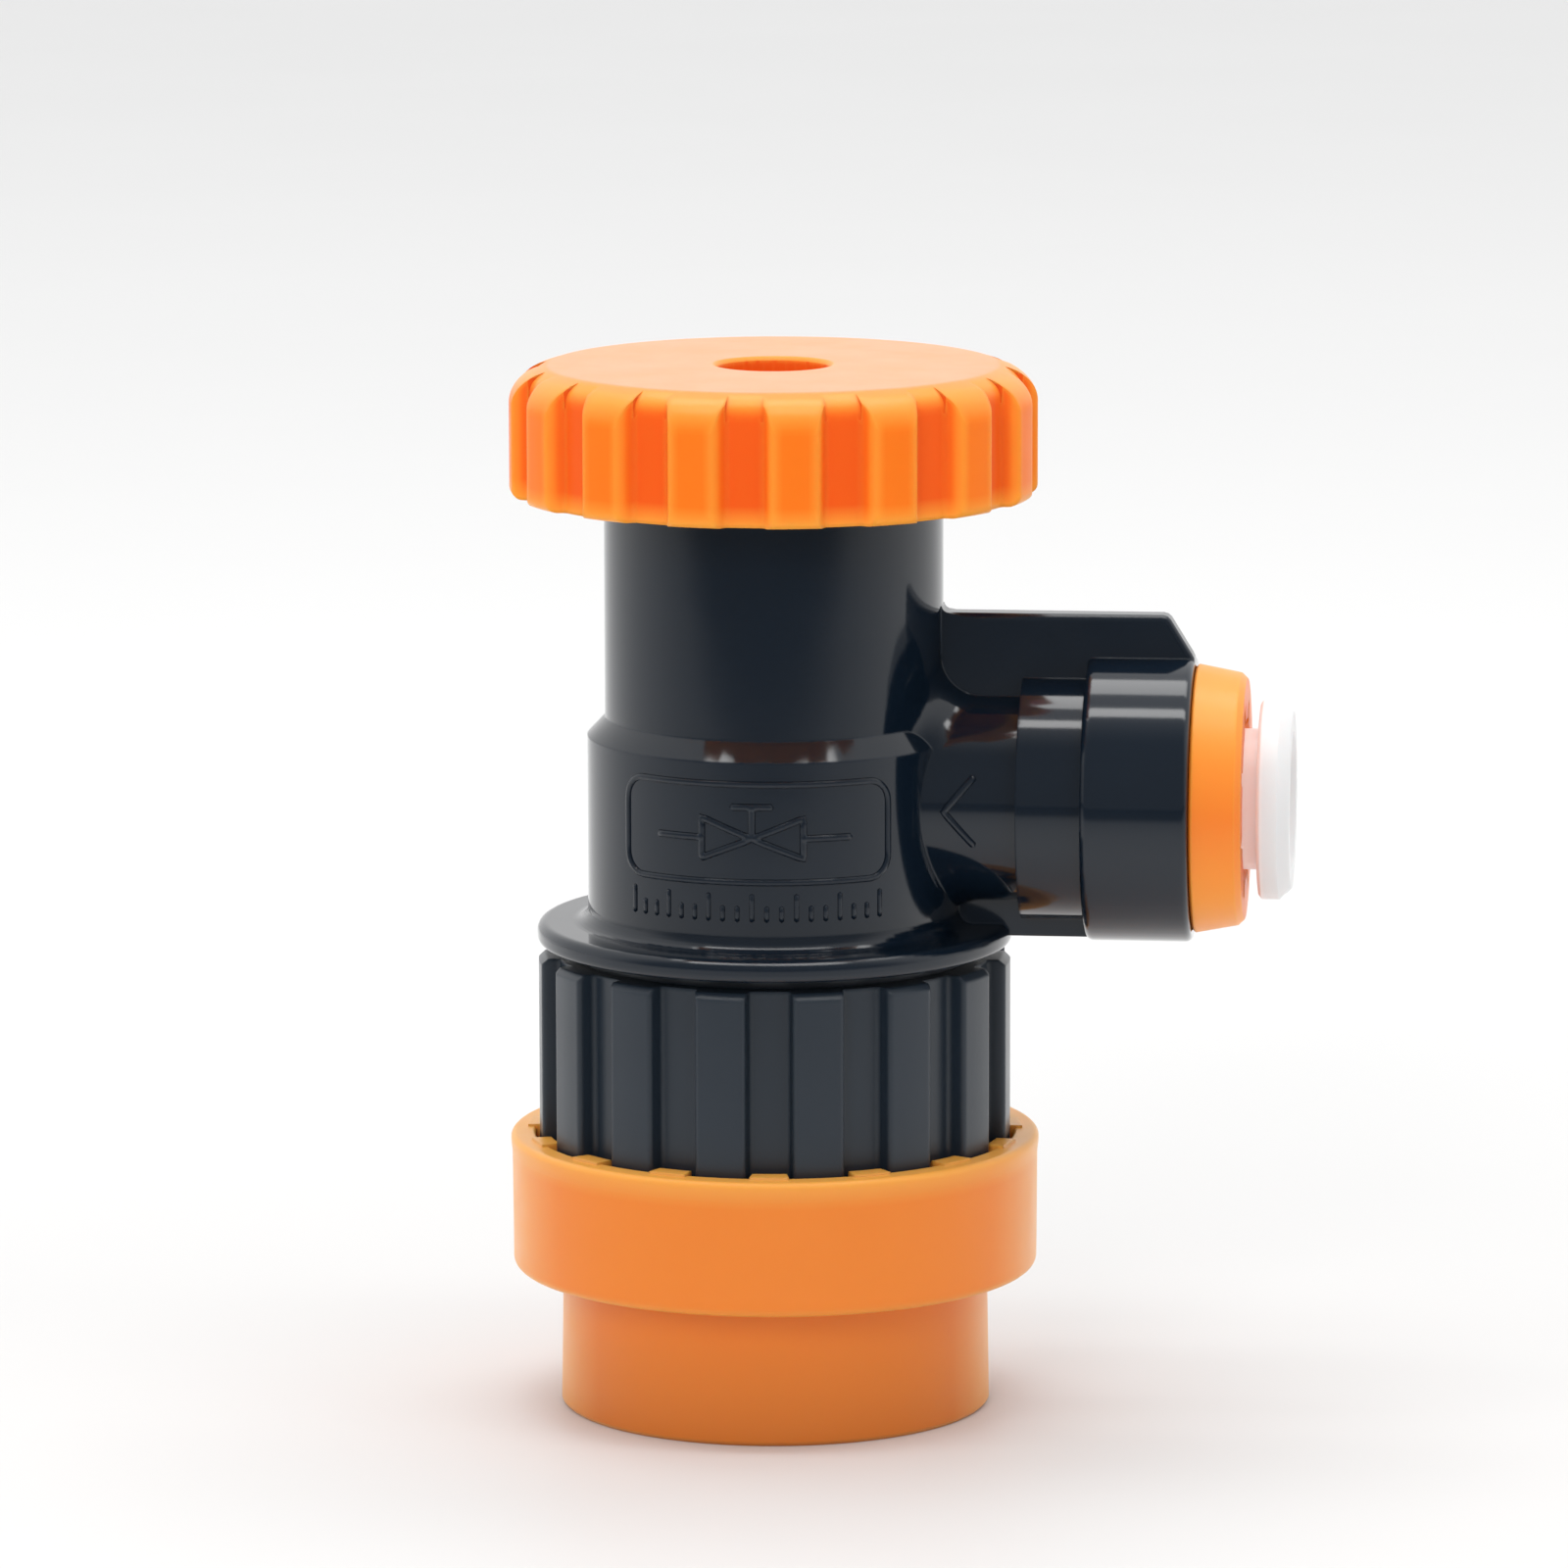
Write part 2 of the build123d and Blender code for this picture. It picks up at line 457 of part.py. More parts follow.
def flow_knob():
    face = fluted(KNOB_LOBES, KNOB_PHASE, KNOB_R, KNOB_FLUTE_R,
                  half_land=LOBE_HALF - 1.35, half_foot=LOBE_FOOT_HALF, corner=0.42)
    knob = prism(face, KNOB_LOW, KNOB_TOP) & knob_envelope()
    knob = knob - flute_runs()
    # hollow underside, then the boss and ribs inside it
    knob -= turned((0, KNOB_LOW - 1), (14.9, KNOB_LOW - 1), (14.9, KNOB_LOW),
                   (14.6, KNOB_LOW + 0.3), (14.4, 67.0), (13.8, 67.6), (0, 67.6))
    boss = turned((0, 61.95), (5.6, 61.95), (5.9, 62.25), (6.1, 67.7), (0, 67.7))
    knob = knob + boss + boxes_round_valve(8, 22.5, 10.2, 67.15, 8.9, 1.2, 1.1)
    # spindle socket, then the screw hole and the recess for its head
    knob -= hex_prism(KNOB_SOCKET_HEX, 61.9, 65.9)
    knob -= turned((0, 60), (1.6, 60), (1.6, 66.9), (KNOB_HOLE_R, 66.9),
                   (KNOB_HOLE_R, KNOB_TOP - 0.25), (KNOB_HOLE_R + 0.25, KNOB_TOP),
                   (KNOB_HOLE_R + 0.25, 71), (0, 71))
    return knob


save(flow_knob(), "flow_knob")

screw = turned((0, 62.95), (1.0, 62.95), (1.2, 63.2), (1.2, 65.85), (1.45, 65.9), (1.45, 66.92),
               (2.9, 66.92), (2.9, 67.9), *arc_points(2.1, 67.9, 0.8, 0, 90, 5), (0, 68.7))
for angle in (20, 110):  # cross slot
    screw -= Rot(0, 0, angle) * Pos(0, 0, 68.3) * Box(3.1, 0.62, 1.4)
save(screw, "knob_screw")

# ---- push-to-connect branch
for name, x in (("inner", 15.15), ("outer", 19.05)):
    ring = Torus(TUBE_RING_R, TUBE_RING_WIRE_R)
    save(Pos(x, 0, BRANCH_Z) * Rot(0, 90, 0) * ring, f"tube_o_ring_{name}")
save(turned_x((4.15, 16.25), (5.85, 16.25), (5.85, 17.95), (4.15, 17.95)), "o_ring_spacer")

# retainer, notched round its bore at the outer end
retainer = turned_x((6.3, 21.1), (7.1, 21.1), (7.38, 21.5), (7.38, 28.12), (8.75, 28.12),
                    (8.93, 28.30), (8.40, 31.10), (8.02, 31.5), (5.45, 31.5), (5.0, 31.15),
                    (5.0, 27.0), (6.3, 23.2))
save(retainer - boxes_round_branch(8, 22.5, 31.5, 5.75, 1.1, 1.0, 1.9), "tube_retainer")

# collet, with a groove for the grip ring and slots between its fingers
collet = turned_x((4.30, 22.6), (5.6, 22.6), (5.9, 22.9), (5.9, 23.7), (4.68, 26.2),
                  (4.68, 32.45), (6.40, 32.45), (6.64, 32.65), (6.64, 33.80), (5.90, 34.6),
                  (4.6, 34.6), (4.10, 34.1), (4.10, 26.0), (4.30, 25.8))
collet -= turned_x((4.0, 23.35), (5.45, 23.35), (5.45, 23.85), (4.0, 23.85))
save(collet - boxes_round_branch(6, 30, 25.0, 5, 5.6, 0.8, 3.2), "tube_collet")

# grip ring with six teeth pointing in at the tube
grip = turned_x((4.75, 23.42), (5.42, 23.42), (5.42, 23.78), (4.75, 23.78))
tooth_ring = turned_x((4.06, 23.42), (4.12, 23.42), (4.80, 23.60), (4.80, 23.78), (4.70, 23.78))
for sector in boxes_round_branch(6, 0, 23.6, 4.6, 1, 1.5, 2.2):
    grip = grip + (tooth_ring & sector)
save(grip, "collet_grip_ring")
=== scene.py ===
# A small valve with a lobed knob, standing on a pale floor. Its axis is +Z through the origin,
# the branch tube runs along +X, and the marked panel faces -Y, the camera's side.
import json
import math
from functools import cached_property

import bmesh
import bpy
from mathutils import Matrix, Vector


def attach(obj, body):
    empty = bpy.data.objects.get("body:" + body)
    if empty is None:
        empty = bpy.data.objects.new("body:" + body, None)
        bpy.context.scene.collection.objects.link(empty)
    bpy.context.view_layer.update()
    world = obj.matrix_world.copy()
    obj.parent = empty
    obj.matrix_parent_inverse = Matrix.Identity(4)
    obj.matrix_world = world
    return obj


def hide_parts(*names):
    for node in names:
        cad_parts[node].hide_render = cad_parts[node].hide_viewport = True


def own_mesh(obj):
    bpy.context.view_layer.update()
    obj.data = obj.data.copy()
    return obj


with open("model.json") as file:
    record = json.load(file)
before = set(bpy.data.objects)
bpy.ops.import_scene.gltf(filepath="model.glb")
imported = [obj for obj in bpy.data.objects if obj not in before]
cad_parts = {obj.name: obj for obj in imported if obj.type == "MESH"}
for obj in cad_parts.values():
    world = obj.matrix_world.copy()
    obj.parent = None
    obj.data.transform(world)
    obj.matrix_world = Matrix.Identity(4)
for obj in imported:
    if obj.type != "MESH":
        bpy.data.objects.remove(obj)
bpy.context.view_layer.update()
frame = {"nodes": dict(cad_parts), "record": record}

scene = bpy.context.scene
MM = 0.001

# The knob's lobes, in degrees about +Z
LOBE_STEP = 22.5
LOBE_PHASE = 10.5


# ------------------------------------------------------------------ shader graphs
class Graph:
    """A node tree, with helpers whose inputs take either a socket or a constant."""

    def __init__(self, owner):
        owner.use_nodes = True
        self.tree = owner.node_tree

    def find(self, kind):
        return next(node for node in self.tree.nodes if node.type == kind)

    def put(self, socket, value):
        if isinstance(value, bpy.types.NodeSocket):
            self.tree.links.new(value, socket)
        else:
            socket.default_value = value

    def feed(self, node, **inputs):
        """Sets inputs by name; an underscore stands for a space."""
        for name, value in inputs.items():
            self.put(node.inputs[name.replace("_", " ")], value)

    def node(self, kind, **inputs):
        node = self.tree.nodes.new("ShaderNode" + kind)
        self.feed(node, **inputs)
        return node

    def remap(self, value, span, to=(0.0, 1.0), smooth=False):
        """Maps the span onto the range to, held at its ends."""
        node = self.node("MapRange", Value=value, From_Min=span[0], From_Max=span[1],
                         To_Min=to[0], To_Max=to[1])
        if smooth:
            node.interpolation_type = "SMOOTHSTEP"
        return node.outputs["Result"]


class Material(Graph):
    """A Principled material with helpers for layered detail; lengths are in metres."""

    def __init__(self, name):
        self.material = bpy.data.materials.new(name)
        super().__init__(self.material)
        self.bsdf = self.find("BSDF_PRINCIPLED")
        self.place = self.node("TexCoord").outputs["Object"]

    @cached_property
    def axes(self):
        """X, Y and Z of the shaded point in the object's frame."""
        return self.node("SeparateXYZ", Vector=self.place).outputs

    def shade(self, **inputs):
        self.feed(self.bsdf, **inputs)

    def noise(self, scale, detail=4.0, roughness=0.55, vector=None):
        place = self.place if vector is None else vector
        return self.node("TexNoise", Scale=scale, Detail=detail, Roughness=roughness,
                         Vector=place).outputs["Fac"]

    def ramp(self, value, stops):
        node = self.node("ValToRGB", Fac=value)
        elements = node.color_ramp.elements
        while len(elements) < len(stops):
            elements.new(0.5)
        for element, (position, color) in zip(elements, stops):
            element.position = position
            element.color = (*color, 1.0)
        return node.outputs["Color"]

    def uneven(self, noise, low, high):
        """A value that wanders between low and high with the noise."""
        return self.remap(noise, span=(0.3, 0.7), to=(low, high))

    def math(self, operation, first, second=0.0):
        node = self.node("Math")
        node.operation = operation
        self.put(node.inputs[0], first)
        self.put(node.inputs[1], second)
        return node.outputs[0]

    def add(self, first, second):
        return self.math("ADD", first, second)

    def times(self, first, second):
        return self.math("MULTIPLY", first, second)

    def mix(self, factor, first, second):
        node = self.node("Mix")
        node.data_type = "RGBA"
        self.feed(node, Factor=factor)
        for socket, color in ((node.inputs[6], first), (node.inputs[7], second)):
            self.put(socket, (*color, 1.0) if isinstance(color, tuple) else color)
        return node.outputs[2]

    def tint(self, under, color, mask, share):
        """Lays color over under, by share where the mask is 1."""
        return self.mix(self.times(mask, share), under, color)

    def bevel(self, radius):
        node = self.node("Bevel", Radius=radius)
        node.samples = 4
        return node.outputs["Normal"]

    def edges(self, rounded, turn=(0.02, 0.20)):
        """Outward edges, where the rounded normal leaves the face's own normal."""
        geometry = self.node("NewGeometry").outputs
        dot = self.node("VectorMath")
        dot.operation = "DOT_PRODUCT"
        self.put(dot.inputs[0], rounded)
        self.put(dot.inputs[1], geometry["Normal"])
        turned = self.math("SUBTRACT", 1.0, dot.outputs["Value"])
        outward = self.remap(geometry["Pointiness"], span=(0.490, 0.505))
        return self.times(self.remap(turned, span=turn), outward)

    def bump(self, height, strength, distance, normal=None):
        node = self.node("Bump", Strength=strength, Distance=distance, Height=height)
        if normal is not None:
            self.feed(node, Normal=normal)
        return node.outputs["Normal"]


def scaled(color, gain):
    return tuple(channel * gain for channel in color)


# ------------------------------------------------------------------ material recipes
def black_plastic(name, base, roughness, grain, bevel, edge_gain, wave):
    """Faintly mottled black with paler edges and a little dust."""
    mat = Material(name)
    rounded = mat.bevel(bevel)
    mottle = mat.noise(scale=90, detail=3)
    dust = mat.remap(mat.noise(scale=1100, detail=6, roughness=0.7), span=(0.66, 0.80))
    color = mat.mix(mottle, scaled(base, 0.86), scaled(base, 1.16))
    worn = tuple(channel * edge_gain + 0.012 for channel in base)
    color = mat.tint(color, worn, mat.edges(rounded), share=0.45)
    color = mat.tint(color, (0.10, 0.11, 0.12), dust, share=0.03)
    rough = mat.uneven(mat.noise(scale=140), *roughness)
    rough = mat.add(rough, mat.times(dust, 0.05))
    normal = mat.bump(mat.noise(scale=120, detail=2, roughness=0.4), strength=wave,
                      distance=0.00006, normal=rounded)
    normal = mat.bump(mat.noise(scale=2600, detail=2), strength=grain,
                      distance=0.000010, normal=normal)
    mat.shade(Base_Color=color, Roughness=rough, Normal=normal, IOR=1.50,
              Specular_IOR_Level=0.5)
    return mat.material


def lobe_light_and_shade(mat, color, base, painted_light, share, up):
    """Paints shade into the flutes and a painted glow on the lobes' corners, standing in for the
    light that the translucent knob passes.
    """
    x, y = mat.axes["X"], mat.axes["Y"]
    upright = mat.remap(mat.math("ABSOLUTE", up), span=(0.10, 0.65), to=(1, 0))
    radius = mat.math("SQRT", mat.add(mat.times(x, x), mat.times(y, y)))
    angle = mat.times(mat.math("ARCTAN2", y, x), 180 / math.pi)
    angle = mat.add(angle, 360 + LOBE_STEP / 2 - LOBE_PHASE)
    angle = mat.math("FLOORED_MODULO", angle, LOBE_STEP)
    off_lobe = mat.math("ABSOLUTE", mat.math("SUBTRACT", angle, LOBE_STEP / 2))
    flute_shade = mat.times(mat.remap(radius, span=(0.01712, 0.01652)), upright)
    corner_glow = mat.times(mat.remap(off_lobe, span=(2.6, 4.7)),
                       mat.remap(off_lobe, span=(5.6, 6.6), to=(1, 0)))
    corner_glow = mat.times(corner_glow, upright)
    # painted glow on the lobes' corners; below it, painted shade in the flutes
    color = mat.tint(color, painted_light, corner_glow, share * 0.55)
    red, green, blue = base
    return mat.tint(color, (red * 0.90, green * 0.50, blue * 0.8), flute_shade, share)


def orange_plastic(name, base, roughness, subsurface, bevel, edge, rise, specular, grain,
                   hollow_shade=0.0, foot=0.0, lobes=0.0, sheen=0.0, lip=None):
    """Translucent orange. edge, rise, hollow, foot, lobes and sheen are shares of painted light and
    shade: edge a painted glow on outward edges, rise painted light on faces turned up or down,
    hollow painted shade in recesses, foot painted shade towards the bottom, lobes painted shade in
    the flutes and painted glow on their corners, sheen a painted highlight at grazing angles; lip
    is (height where it starts, height where it is full, share) of a painted highlight."""
    mat = Material(name)
    red, green, blue = base
    deep = (red * 0.98, green * 0.96, blue * 0.9)
    pale = (min(1, red * 1.01), green * 1.04, blue * 1.1)
    # the colour of painted light: the glow, highlights and lit faces below all draw towards it
    painted_light = (min(1, red * 1.06), green * 1.95, blue * 3 + 0.015)
    rounded = mat.bevel(bevel)
    mottle = mat.add(mat.times(mat.noise(scale=45, detail=3), 0.8),
                     mat.times(mat.noise(scale=700, detail=2), 0.2))
    color = mat.mix(mat.remap(mottle, span=(0.25, 0.75)), deep, pale)
    facing = mat.node("NewGeometry").outputs["Normal"]
    up = mat.node("SeparateXYZ", Vector=facing).outputs["Z"]
    if lobes:
        color = lobe_light_and_shade(mat, color, base, painted_light, lobes, up)
    # painted light: faces turned up are drawn towards the pale colour, as if lit from above
    painted_top_light = mat.times(mat.remap(up, span=(0.02, 0.75)), rise)
    if lobes:
        painted_top_light = mat.times(painted_top_light, mat.remap(up, span=(0.90, 0.995), to=(1.0, 0.5)))
    color = mat.mix(painted_top_light, color, painted_light)
    # painted reflection: the knob's flat top is tinted pale, standing in for the lamps it mirrors
    # at a grazing angle
    if lobes:
        painted_top_reflection = mat.remap(up, span=(0.96, 0.998))
        color = mat.tint(color, (1.0, 0.345, 0.18), painted_top_reflection, share=0.5)
    # painted light on faces turned down, standing in for light bounced up from the floor
    color = mat.tint(color, painted_light, mat.remap(up, span=(-0.05, -0.7)), rise)
    # painted highlight: brighter between two heights, on the collar's upper lip and at the knob's
    # lower edge
    if lip:
        start, full, share = lip
        color = mat.tint(color, painted_light, mat.remap(mat.axes["Z"], span=(start, full)), share)
    # painted shade: deeper red where ambient occlusion finds the surface closed in
    if hollow_shade:
        occlusion = mat.node("AmbientOcclusion", Distance=0.0022)
        occlusion.samples = 6
        shut = mat.remap(occlusion.outputs["AO"], span=(0.95, 0.45))
        color = mat.tint(color, (red, green * 0.55, blue * 0.7), shut, hollow_shade)
    # painted glow on outward edges, standing in for light scattered out through the translucent
    # rims
    color = mat.tint(color, painted_light, mat.edges(rounded, turn=(0.008, 0.10)), edge)
    # painted shade: darker towards the bottom, where less light reaches the skirt near the floor
    if foot:
        low = mat.remap(mat.axes["Z"], span=(0.0094, 0.0))
        color = mat.tint(color, scaled(base, 0.62), low, foot)
    # painted sheen: paler at grazing angles, standing in for the light the sides reflect
    if sheen:
        grazing = mat.node("LayerWeight", Blend=0.5).outputs["Facing"]
        color = mat.tint(color, painted_light, mat.remap(grazing, span=(0.45, 0.95)), sheen)
    rough = mat.uneven(mat.noise(scale=240), *roughness)
    normal = mat.bump(mat.noise(scale=330, detail=2), strength=0.03, distance=0.00002,
                      normal=rounded)
    normal = mat.bump(mat.noise(scale=3000, detail=2), strength=grain, distance=0.000005,
                      normal=normal)
    mat.shade(Base_Color=color, Roughness=rough, Normal=normal, IOR=1.46,
              Specular_IOR_Level=specular, Subsurface_Weight=subsurface,
              Subsurface_Scale=0.0016, Subsurface_Radius=(1.0, 0.32, 0.08))
    if lobes:
        # the sides shine less than the top
        shine = mat.remap(up, span=(0.15, 0.90), to=(0.10, specular))
        shine = mat.add(shine, mat.remap(up, span=(0.95, 0.995), to=(0.0, 0.20)))
        mat.shade(Specular_IOR_Level=shine)
    return mat.material


def white_plastic(name, base, roughness, subsurface, neck_glow=None):
    """Soft white. neck is (X where the painted glow is full, X where it ends, color of the glow).
    """
    mat = Material(name)
    color = mat.mix(mat.noise(scale=120, detail=3), scaled(base, 0.95), base)
    if neck_glow:
        # painted glow: the thin part here is tinted and made to emit, standing in for light from
        # the orange ring beside it shining through
        full, end, glow = neck_glow
        x = mat.axes["X"]
        color = mat.mix(mat.remap(x, span=(full, end), to=(1, 0)), color, glow)
        mat.shade(Emission_Color=(*glow, 1.0),
                  Emission_Strength=mat.remap(x, span=(full, end), to=(0.20, 0.0)))
    rough = mat.uneven(mat.noise(scale=400, detail=3), roughness * 0.8, roughness * 1.2)
    normal = mat.bump(mat.noise(scale=500, detail=2), strength=0.05, distance=0.00001,
                      normal=mat.bevel(0.00012))
    mat.shade(Base_Color=color, Roughness=rough, Normal=normal, IOR=1.49,
              Subsurface_Weight=subsurface, Subsurface_Scale=0.002,
              Subsurface_Radius=(1.0, 0.8, 0.75))
    return mat.material


def steel(name, base, roughness):
    mat = Material(name)
    rounded = mat.bevel(0.00006)
    # unequal scales here would draw the grain out along one axis
    grain_space = mat.node("Mapping", Scale=(1, 1, 1), Vector=mat.place).outputs["Vector"]
    grain = mat.noise(scale=1500, detail=3, roughness=0.6, vector=grain_space)
    color = mat.mix(grain, scaled(base, 0.8), base)
    color = mat.tint(color, (0.85, 0.85, 0.86), mat.edges(rounded), share=0.5)
    mat.shade(Base_Color=color, Metallic=1.0,
              Roughness=mat.uneven(grain, roughness * 0.7, roughness * 1.4),
              Normal=mat.bump(grain, strength=0.2, distance=0.00001, normal=rounded))
    return mat.material


def rubber(name):
    mat = Material(name)
    mottle = mat.noise(scale=800)
    fine_grain = mat.noise(scale=3000, detail=2)
    mat.shade(Base_Color=mat.mix(mottle, (0.012, 0.012, 0.013), (0.028, 0.028, 0.030)),
              Roughness=mat.uneven(mottle, 0.45, 0.65),
              Normal=mat.bump(fine_grain, strength=0.25, distance=0.00001))
    return mat.material


RECIPES = {
    "body_black": (black_plastic, dict(
        base=(0.0046, 0.0098, 0.0180), roughness=(0.07, 0.11), grain=0.04, bevel=0.00022,
        edge_gain=2.4, wave=0.34)),
    "barrel_black": (black_plastic, dict(
        base=(0.0120, 0.0200, 0.0310), roughness=(0.29, 0.34), grain=0.35, bevel=0.00035,
        edge_gain=1.5, wave=0.10)),
    "collar_orange": (orange_plastic, dict(
        base=(0.84, 0.225, 0.022), roughness=(0.29, 0.37), subsurface=0.12, bevel=0.00025,
        edge=0.55, rise=0.30, specular=0.42, grain=0.06, foot=0.75, sheen=0.70,
        lip=(0.0166, 0.0182, 0.55))),
    "knob_orange": (orange_plastic, dict(
        base=(0.97, 0.198, 0.012), roughness=(0.285, 0.35), subsurface=0.18, bevel=0.00055,
        edge=0.60, rise=0.60, specular=0.38, grain=0.03, hollow_shade=0.35, lobes=0.80,
        lip=(0.0629, 0.0617, 0.80))),
    "retainer_orange": (orange_plastic, dict(
        base=(0.92, 0.220, 0.013), roughness=(0.34, 0.44), subsurface=0.14, bevel=0.00025,
        edge=0.60, rise=0.50, specular=0.50, grain=0.10, hollow_shade=0.2)),
    "collet_white": (white_plastic, dict(
        base=(0.76, 0.765, 0.77), roughness=0.38, subsurface=0.6,
        neck_glow=(0.0316, 0.0329, (0.95, 0.79, 0.75)))),
    "ball_steel": (steel, dict(base=(0.62, 0.62, 0.63), roughness=0.12)),
    "spring_steel": (steel, dict(base=(0.58, 0.58, 0.60), roughness=0.25)),
    "clip_steel": (steel, dict(base=(0.46, 0.47, 0.49), roughness=0.30)),
    "screw_steel": (steel, dict(base=(0.60, 0.60, 0.61), roughness=0.28)),
    "seal_black": (rubber, {}),
    "insert_white": (white_plastic, dict(
        base=(0.80, 0.80, 0.78), roughness=0.4, subsurface=0.2)),
    "needle_white": (white_plastic, dict(
        base=(0.78, 0.78, 0.76), roughness=0.4, subsurface=0.2)),
}
MATERIALS = {name: recipe(name, **values) for name, (recipe, values) in RECIPES.items()}
for subpart in frame["record"]["subparts"]:
    slots = frame["nodes"][subpart["node"]].data.materials
    slots.clear()
    slots.append(MATERIALS[subpart["material_slot"]])


# ------------------------------------------------------------------ added meshes
def add_mesh(name, verts, faces):
    mesh = bpy.data.meshes.new(name)
    mesh.from_pydata(verts, [], faces)
    mesh.update()
    obj = bpy.data.objects.new(name, mesh)
    scene.collection.objects.link(obj)
    for polygon in mesh.polygons:
        polygon.use_smooth = True
    return obj


def add_body_part(name, verts, faces, slot):
    """A mesh with outward normals that rides on the valve body."""
    obj = add_mesh(name, verts, faces)
    bm = bmesh.new()
    bm.from_mesh(obj.data)
    bmesh.ops.recalc_face_normals(bm, faces=bm.faces)
    bm.to_mesh(obj.data)
    bm.free()
    obj.data.materials.append(MATERIALS[slot])
    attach(obj, "valve_body")
    return obj


# ------------------------------------------------------------------ raised marks on the body
# Lengths are in mm. A path is (points, closed); a point is (u, v) on the surface.
BODY_RADIUS = 12.45
PANEL_TURN = -1.0       # degrees about +Z from facing -Y
TUBE_RADIUS = 6.90
BRANCH_Z = 41.38
PANEL_Z = 40.7
PANEL_HALF_WIDTH, PANEL_HALF_HEIGHT, PANEL_CORNER = 9.5, 3.25, 1.5
SYMBOL_Z = PANEL_Z - 0.35
STEM_TOP_Z = PANEL_Z + 1.75
STEM_CAP_HALF = 1.3
BOW_HALF_WIDTH, BOW_HALF_HEIGHT = 3.4, 1.35
LINE_END = 6.6          # outer ends of the lines beside the bow
TICK_PITCH = 0.98
TICK_FOOT_Z = 35.75 - 0.85
CHEVRON_TIP_X, CHEVRON_END_X, CHEVRON_HALF = 11.9, 13.85, 2.3
PATH_STEP = 0.35
BEAD_SINK = 0.05
BEAD_SIDES = 10


def fine(points, closed=False):
    """A path along the points, with further points no more than PATH_STEP apart."""
    path = []
    ends = points[1:] + (points[:1] if closed else [])
    for (u0, v0), (u1, v1) in zip(points, ends):
        count = max(1, math.ceil(math.hypot(u1 - u0, v1 - v0) / PATH_STEP))
        path += [(u0 + (u1 - u0) * i / count, v0 + (v1 - v0) * i / count)
                 for i in range(count)]
    return (path if closed else path + [points[-1]]), closed


def on_barrel(u, v):
    """Lays (arc length, height) on the body; gives the point and its normal."""
    angle = u / BODY_RADIUS + math.radians(PANEL_TURN)
    normal = Vector((math.sin(angle), -math.cos(angle), 0))
    return normal * BODY_RADIUS + Vector((0, 0, v)), normal


def on_tube(u, v):
    """Lays (X, arc length) on the branch tube, facing -Y at arc length 0."""
    angle = v / TUBE_RADIUS
    normal = Vector((0, -math.cos(angle), math.sin(angle)))
    return normal * TUBE_RADIUS + Vector((u, 0, BRANCH_Z)), normal


def add_mark(name, paths, place, width, height):
    """Rounded raised lines along the paths, with pointed ends where a path is open."""
    verts, faces = [], []
    for points, closed in paths:
        count = len(points)
        rings = []
        for i, (u, v) in enumerate(points):
            center, normal = place(u, v)
            after = (i + 1) % count if closed else min(i + 1, count - 1)
            before = i - 1 if closed else max(i - 1, 0)
            along = (place(*points[after])[0] - place(*points[before])[0]).normalized()
            side = normal.cross(along).normalized()
            ring = []
            for k in range(BEAD_SIDES):
                angle = 2 * math.pi * k / BEAD_SIDES
                rise = math.sin(angle)
                rise *= height if rise > 0 else BEAD_SINK
                ring.append(len(verts))
                verts.append((center + side * (width / 2 * math.cos(angle))
                              + normal * rise) * MM)
            rings.append((ring, center, along))
        for i in range(count if closed else count - 1):
            near, far = rings[i][0], rings[(i + 1) % count][0]
            for k in range(BEAD_SIDES):
                j = (k + 1) % BEAD_SIDES
                faces.append((near[k], far[k], far[j], near[j])[::-1][-1:]
                             + (near[j], far[j], far[k]))
        if closed:
            continue
        for (ring, center, along), sign in ((rings[0], -1), (rings[-1], 1)):
            tip = len(verts)
            verts.append((center + along * (sign * width * 0.35)) * MM)
            for k in range(BEAD_SIDES):
                j = (k + 1) % BEAD_SIDES
                pair = (ring[k], ring[j]) if sign > 0 else (ring[j], ring[k])
                faces.append((*pair, tip))
    add_body_part(name, verts, faces, "body_black")


def rounded_box(half_width, half_height, radius, center_z, segments=8):
    points = []
    across, rise = half_width - radius, half_height - radius
    corners = ((across, rise, 0), (-across, rise, 90), (-across, -rise, 180),
               (across, -rise, 270))
    for corner_u, corner_v, start in corners:
        for i in range(segments + 1):
            angle = math.radians(start + 90 * i / segments)
            points.append((corner_u + radius * math.cos(angle),
                           center_z + corner_v + radius * math.sin(angle)))
    return points


def symbol_paths():
    """A bow tie with a capped stem above it and a line on either side."""
    left, right = -BOW_HALF_WIDTH, BOW_HALF_WIDTH
    low, high = SYMBOL_Z - BOW_HALF_HEIGHT, SYMBOL_Z + BOW_HALF_HEIGHT
    center = (0, SYMBOL_Z)
    return [fine([(left, low), (left, high), center, (right, high), (right, low), center,
                  (left, low)]),
            fine([center, (0, STEM_TOP_Z)]),
            fine([(-STEM_CAP_HALF, STEM_TOP_Z), (STEM_CAP_HALF, STEM_TOP_Z)]),
            fine([(-LINE_END, SYMBOL_Z), (left, SYMBOL_Z)]),
            fine([(right, SYMBOL_Z), (LINE_END, SYMBOL_Z)])]


def tick_paths():
    """Ticks on a common foot line; every third one is long."""
    paths = []
    for i in range(-9, 10):
        length = 1.7 if i % 3 == 0 else 0.9
        u = i * TICK_PITCH
        paths.append(fine([(u, TICK_FOOT_Z), (u, TICK_FOOT_Z + length)]))
    return paths


panel = rounded_box(PANEL_HALF_WIDTH, PANEL_HALF_HEIGHT, PANEL_CORNER, PANEL_Z)
chevron = [(CHEVRON_END_X, CHEVRON_HALF), (CHEVRON_TIP_X, 0.0), (CHEVRON_END_X, -CHEVRON_HALF)]
add_mark("panel_outline", [fine(panel, closed=True)], on_barrel, width=0.46, height=0.17)
add_mark("valve_symbol", symbol_paths(), on_barrel, width=0.50, height=0.19)
add_mark("scale_ticks", tick_paths(), on_barrel, width=0.34, height=0.13)
add_mark("flow_chevron", [fine(chevron)], on_tube, width=0.50, height=0.18)


